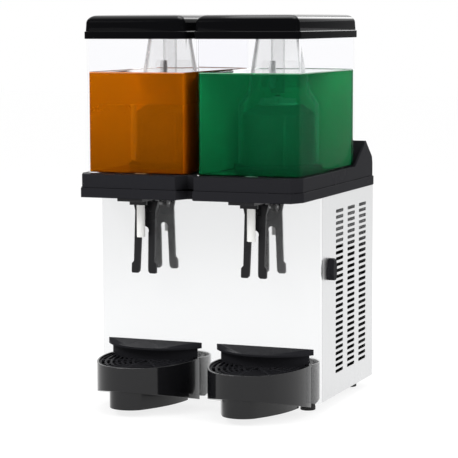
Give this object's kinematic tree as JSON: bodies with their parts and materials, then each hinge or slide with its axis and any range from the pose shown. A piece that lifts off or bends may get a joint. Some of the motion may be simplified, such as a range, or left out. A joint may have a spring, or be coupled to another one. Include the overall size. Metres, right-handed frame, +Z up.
{
  "type": "cold drink dispenser",
  "caption": "Countertop cold drink dispenser: clear tanks under black lids on a black deck, push-lever taps over oval drip trays, steel cabinet with slotted sides",
  "frame": {"origin": "middle of the machine's outer box, on the table under the feet", "axes": "X to the right seen from the taps, Y to the back, Z up"},
  "size_m": [0.3802, 0.409, 0.6204],
  "materials": {
    "front_steel": "polished",
    "side_steel": "satin",
    "pan_steel": "satin",
    "black_gloss": "gloss",
    "black_tap": "gloss",
    "clear_tank": "clear",
    "clear_hood": "clear",
    "white_plastic": "satin",
    "grey_plastic": "satin",
    "evaporator_steel": "satin",
    "pin_steel": "polished",
    "seal_rubber": "matte",
    "foot_rubber": "matte",
    "motor_paint": "satin",
    "compressor_paint": "satin",
    "fin_aluminium": "satin"
  },
  "bodies": {
    "cabinet": {"base_pan": "pan_steel", "front_panel": "front_steel", "side_panel_left": "side_steel", "side_panel_right": "side_steel", "back_panel": "side_steel", "deck_base": "black_gloss", "deck_tray": "black_gloss", "feet": "foot_rubber", "cord_gland": "black_gloss", "thermostat": "motor_paint", "compressor": "compressor_paint", "compressor_mounts": "seal_rubber", "condenser": "fin_aluminium", "fan_shroud": "motor_paint", "fan_motor": "motor_paint", "evaporator_left": "evaporator_steel", "evaporator_right": "evaporator_steel", "tank_seal_left": "seal_rubber", "tank_seal_right": "seal_rubber", "mixer_hood_left": "clear_hood", "mixer_hood_right": "clear_hood", "stirrer_motor_left": "motor_paint", "stirrer_motor_right": "motor_paint", "tap_plate_left": "grey_plastic", "tap_plate_right": "grey_plastic", "tap_bracket_left": "black_tap", "tap_bracket_right": "black_tap", "lever_pin_left": "pin_steel", "lever_pin_right": "pin_steel", "lever_spring_left": "pin_steel", "lever_spring_right": "pin_steel"},
    "tank_left": {"tank_left": "clear_tank", "tank_floor_left": "clear_tank", "tank_collar_left": "clear_tank", "spout_left": "white_plastic"},
    "lid_left": {"lid_left": "black_gloss"},
    "lever_left": {"lever_left": "black_tap"},
    "tray_left": {"drip_bowl_left": "black_gloss"},
    "grille_left": {"drip_grille_left": "black_gloss", "drip_rest_left": "black_gloss"},
    "drive_left": {"drive_rotor_left": "pin_steel"},
    "impeller_left": {"impeller_left": "white_plastic"},
    "tank_right": {"tank_right": "clear_tank", "tank_floor_right": "clear_tank", "tank_collar_right": "clear_tank", "spout_right": "white_plastic"},
    "lid_right": {"lid_right": "black_gloss"},
    "lever_right": {"lever_right": "black_tap"},
    "tray_right": {"drip_bowl_right": "black_gloss"},
    "grille_right": {"drip_grille_right": "black_gloss", "drip_rest_right": "black_gloss"},
    "drive_right": {"drive_rotor_right": "pin_steel"},
    "impeller_right": {"impeller_right": "white_plastic"},
    "knob": {"knob": "black_gloss"},
    "fan": {"fan_rotor": "black_gloss"}
  },
  "joints": [
    {"name": "tank_left_lift", "type": "slide", "parent": "cabinet", "child": "tank_left", "axis": [0, 0, 1], "range_m": [0, 0.25]},
    {"name": "lid_left_lift", "type": "slide", "parent": "tank_left", "child": "lid_left", "axis": [0, 0, 1], "range_m": [0, 0.1]},
    {"name": "lever_left_push", "type": "hinge", "parent": "cabinet", "child": "lever_left", "pos_m": [-0.09765, -0.0975, 0.3207], "axis": [1, 0, 0], "range_deg": [0, 15], "stiffness_Nm_per_rad": 0.6, "springref_deg": -11.46},
    {"name": "tray_left_lift", "type": "slide", "parent": "cabinet", "child": "tray_left", "axis": [0, 0, 1], "range_m": [0, 0.06]},
    {"name": "grille_left_lift", "type": "slide", "parent": "tray_left", "child": "grille_left", "axis": [0, 0, 1], "range_m": [0, 0.05]},
    {"name": "drive_left_turn", "type": "hinge", "parent": "cabinet", "child": "drive_left", "pos_m": [-0.09765, -0.0085, 0.4], "axis": [0, 0, 1], "continuous": true},
    {"name": "impeller_left_turn", "type": "hinge", "parent": "cabinet", "child": "impeller_left", "pos_m": [-0.09765, -0.0085, 0.484], "axis": [0, 0, 1], "continuous": true},
    {"name": "tank_right_lift", "type": "slide", "parent": "cabinet", "child": "tank_right", "axis": [0, 0, 1], "range_m": [0, 0.25]},
    {"name": "lid_right_lift", "type": "slide", "parent": "tank_right", "child": "lid_right", "axis": [0, 0, 1], "range_m": [0, 0.1]},
    {"name": "lever_right_push", "type": "hinge", "parent": "cabinet", "child": "lever_right", "pos_m": [0.08735, -0.0975, 0.3207], "axis": [1, 0, 0], "range_deg": [0, 15], "stiffness_Nm_per_rad": 0.6, "springref_deg": -11.46},
    {"name": "tray_right_lift", "type": "slide", "parent": "cabinet", "child": "tray_right", "axis": [0, 0, 1], "range_m": [0, 0.06]},
    {"name": "grille_right_lift", "type": "slide", "parent": "tray_right", "child": "grille_right", "axis": [0, 0, 1], "range_m": [0, 0.05]},
    {"name": "drive_right_turn", "type": "hinge", "parent": "cabinet", "child": "drive_right", "pos_m": [0.08735, -0.0085, 0.4], "axis": [0, 0, 1], "continuous": true},
    {"name": "impeller_right_turn", "type": "hinge", "parent": "cabinet", "child": "impeller_right", "pos_m": [0.08735, -0.0085, 0.484], "axis": [0, 0, 1], "continuous": true},
    {"name": "knob_turn", "type": "hinge", "parent": "cabinet", "child": "knob", "pos_m": [0.17985, -0.0285, 0.219], "axis": [1, 0, 0], "range_deg": [-135, 135]},
    {"name": "fan_turn", "type": "hinge", "parent": "cabinet", "child": "fan", "pos_m": [0.10485, 0.0845, 0.1284], "axis": [1, 0, 0], "continuous": true}
  ],
  "couplings": [
    {"joint": "impeller_left_turn", "follows": "drive_left_turn", "ratio": 1},
    {"joint": "impeller_right_turn", "follows": "drive_right_turn", "ratio": 1}
  ]
}
